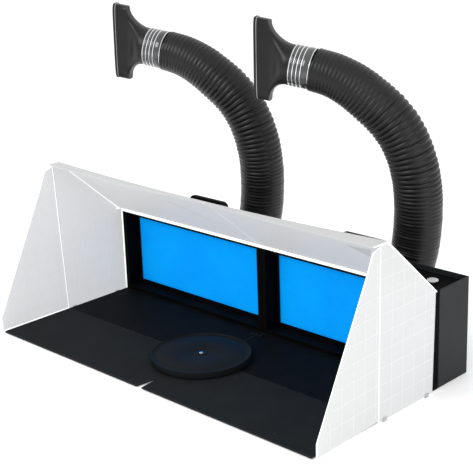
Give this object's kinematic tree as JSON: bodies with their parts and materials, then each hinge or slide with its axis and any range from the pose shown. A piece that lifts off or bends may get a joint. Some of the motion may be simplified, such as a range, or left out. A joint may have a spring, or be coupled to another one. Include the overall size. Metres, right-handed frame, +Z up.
{
  "type": "airbrush spray booth",
  "caption": "Twin portable airbrush spray booth with clear folding hood, hinged floor, turntable, filters and flexible exhaust ducts with flat nozzles.",
  "frame": {"origin": "on the table, at the middle of the booth (hood, floor, housings and duct spigots) without its ducts", "axes": "+X to the booth's right as its user faces it, +Y to the back, +Z up"},
  "size_m": [0.9175, 0.6078, 0.6342],
  "materials": {
    "shell": "fine-grained black ABS",
    "floor": "matt charcoal ABS",
    "trim": "satin black plastic",
    "sheet": "frosted polypropylene sheet with an embossed grid",
    "filter": "matt fibre filter mat",
    "button": "satin light grey cap",
    "steel": "zinc-plated steel",
    "hose": "satin black corrugated hose",
    "cuff": "clear wall over bright wire rings"
  },
  "bodies": {
    "base": {"housing_shell_left": "shell", "top_tray_left": "shell", "front_frame_left": "trim", "filter_grille_left": "trim", "fan_shroud_left": "trim", "fan_motor_left": "steel", "outlet_collar_left": "trim", "power_socket_left": "trim", "rear_floor_left": "floor", "side_clip_rear_left": "trim", "side_clip_front_left": "trim", "side_panel_left": "sheet", "housing_shell_right": "shell", "top_tray_right": "shell", "front_frame_right": "trim", "filter_grille_right": "trim", "fan_shroud_right": "trim", "fan_motor_right": "steel", "outlet_collar_right": "trim", "power_socket_right": "trim", "rear_floor_right": "floor", "side_clip_rear_right": "trim", "side_clip_front_right": "trim", "side_panel_right": "sheet", "unit_clip": "trim"},
    "wing_left": {"side_wing_left": "sheet"},
    "hood_left": {"top_panel_left": "sheet"},
    "flap_left": {"front_flap_left": "floor"},
    "fan_left": {"fan_impeller_left": "trim"},
    "handle_left": {"carry_handle_left": "trim"},
    "button_left": {"power_button_left": "button"},
    "filter_left": {"filter_cassette_left": "trim", "filter_pad_left": "filter"},
    "duct_left": {"duct_hose_left": "hose", "duct_cuff_left": "cuff"},
    "nozzle_left": {"duct_nozzle_left": "trim"},
    "wing_right": {"side_wing_right": "sheet"},
    "hood_right": {"top_panel_right": "sheet"},
    "flap_right": {"front_flap_right": "floor"},
    "fan_right": {"fan_impeller_right": "trim"},
    "handle_right": {"carry_handle_right": "trim"},
    "button_right": {"power_button_right": "button"},
    "filter_right": {"filter_cassette_right": "trim", "filter_pad_right": "filter"},
    "duct_right": {"duct_hose_right": "hose", "duct_cuff_right": "cuff"},
    "nozzle_right": {"duct_nozzle_right": "trim"},
    "turntable": {"turntable_base": "trim", "turntable_pin": "steel"},
    "platter": {"turntable_platter": "floor"}
  },
  "joints": [
    {"name": "wing_fold_left", "type": "hinge", "parent": "base", "child": "wing_left", "pos_m": [-0.41575, -0.065, 0], "axis": [-0.0593, 0, 0.9982], "range_deg": [0, 135]},
    {"name": "wing_fold_right", "type": "hinge", "parent": "base", "child": "wing_right", "pos_m": [0.42825, -0.065, 0], "axis": [-0.0096, 0, -1], "range_deg": [0, 135]},
    {"name": "hood_lift_left", "type": "hinge", "parent": "base", "child": "hood_left", "pos_m": [-0.20375, 0.1005, 0.1915], "axis": [-1, 0, 0], "range_deg": [0, 50]},
    {"name": "hood_lift_right", "type": "hinge", "parent": "base", "child": "hood_right", "pos_m": [0.21625, 0.1005, 0.1915], "axis": [-1, 0, 0], "range_deg": [0, 50]},
    {"name": "flap_fold_left", "type": "hinge", "parent": "base", "child": "flap_left", "pos_m": [-0.20375, -0.069, 0.003], "axis": [-1, 0, 0], "range_deg": [0, 90]},
    {"name": "flap_fold_right", "type": "hinge", "parent": "base", "child": "flap_right", "pos_m": [0.21625, -0.069, 0.003], "axis": [-1, 0, 0], "range_deg": [0, 90]},
    {"name": "turntable_lift", "type": "slide", "parent": "base", "child": "turntable", "axis": [0, -0.5, 0.866], "range_m": [0, 0.409]},
    {"name": "turntable_spin", "type": "hinge", "parent": "turntable", "child": "platter", "pos_m": [0.00625, -0.074, 0.012], "axis": [0, 0, 1], "continuous": true},
    {"name": "fan_spin_left", "type": "hinge", "parent": "base", "child": "fan_left", "pos_m": [-0.20375, 0.17, 0.1], "axis": [0, 1, 0], "continuous": true},
    {"name": "handle_fold_left", "type": "hinge", "parent": "base", "child": "handle_left", "pos_m": [-0.20375, 0.167, 0.187], "axis": [1, 0, 0], "range_deg": [0, 90]},
    {"name": "button_press_left", "type": "slide", "parent": "base", "child": "button_left", "axis": [0, 0, -1], "range_m": [0, 0.002], "stiffness_N_per_m": 300},
    {"name": "filter_pull_left", "type": "slide", "parent": "base", "child": "filter_left", "axis": [0, -1, 0], "range_m": [0, 0.05]},
    {"name": "duct_swivel_left", "type": "hinge", "parent": "base", "child": "duct_left", "pos_m": [-0.20375, 0.236, 0.1], "axis": [0, 1, 0], "range_deg": [-20, 20]},
    {"name": "nozzle_turn_left", "type": "hinge", "parent": "duct_left", "child": "nozzle_left", "pos_m": [-0.40047, 0.19579, 0.53931], "axis": [-0.9005, -0.4002, 0.1701], "range_deg": [-30, 30]},
    {"name": "fan_spin_right", "type": "hinge", "parent": "base", "child": "fan_right", "pos_m": [0.21625, 0.17, 0.1], "axis": [0, 1, 0], "continuous": true},
    {"name": "handle_fold_right", "type": "hinge", "parent": "base", "child": "handle_right", "pos_m": [0.21625, 0.167, 0.187], "axis": [1, 0, 0], "range_deg": [0, 90]},
    {"name": "button_press_right", "type": "slide", "parent": "base", "child": "button_right", "axis": [0, 0, -1], "range_m": [0, 0.002], "stiffness_N_per_m": 300},
    {"name": "filter_pull_right", "type": "slide", "parent": "base", "child": "filter_right", "axis": [0, -1, 0], "range_m": [0, 0.05]},
    {"name": "duct_swivel_right", "type": "hinge", "parent": "base", "child": "duct_right", "pos_m": [0.21625, 0.236, 0.1], "axis": [0, 1, 0], "range_deg": [-20, 20]},
    {"name": "nozzle_turn_right", "type": "hinge", "parent": "duct_right", "child": "nozzle_right", "pos_m": [0.01953, 0.19579, 0.53931], "axis": [-0.9005, -0.4002, 0.1701], "range_deg": [-30, 30]}
  ],
  "couplings": [
    {"joint": "hood_lift_left", "follows": "hood_lift_right", "ratio": 1},
    {"joint": "flap_fold_left", "follows": "flap_fold_right", "ratio": 1},
    {"joint": "turntable_lift", "follows": "flap_fold_right", "m_per_rad": 0.26}
  ]
}
